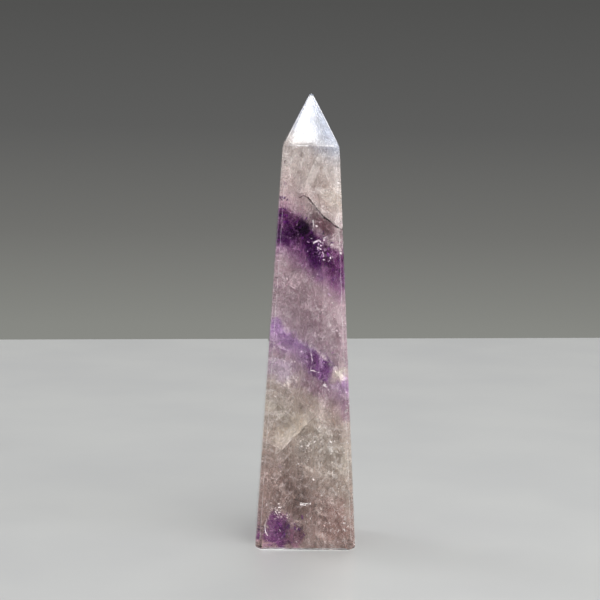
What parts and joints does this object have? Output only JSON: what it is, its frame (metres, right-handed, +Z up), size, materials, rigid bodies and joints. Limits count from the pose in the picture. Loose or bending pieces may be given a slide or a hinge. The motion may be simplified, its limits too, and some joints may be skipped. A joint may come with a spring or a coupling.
{
  "type": "amethyst obelisk",
  "caption": "Polished amethyst obelisk that stands on its flat square base: a tapering four-sided shaft of banded, partly clear purple quartz with a pyramid point.",
  "frame": {"origin": "middle of the flat face that the obelisk stands on", "axes": "+Z up the obelisk to its point; +X and +Y square to its side faces, with the face in the picture looking towards -Y"},
  "size_m": [0.0264, 0.0264, 0.12],
  "materials": {
    "amethyst": "polished"
  },
  "bodies": {
    "root": {"obelisk": "amethyst"}
  },
  "joints": []
}
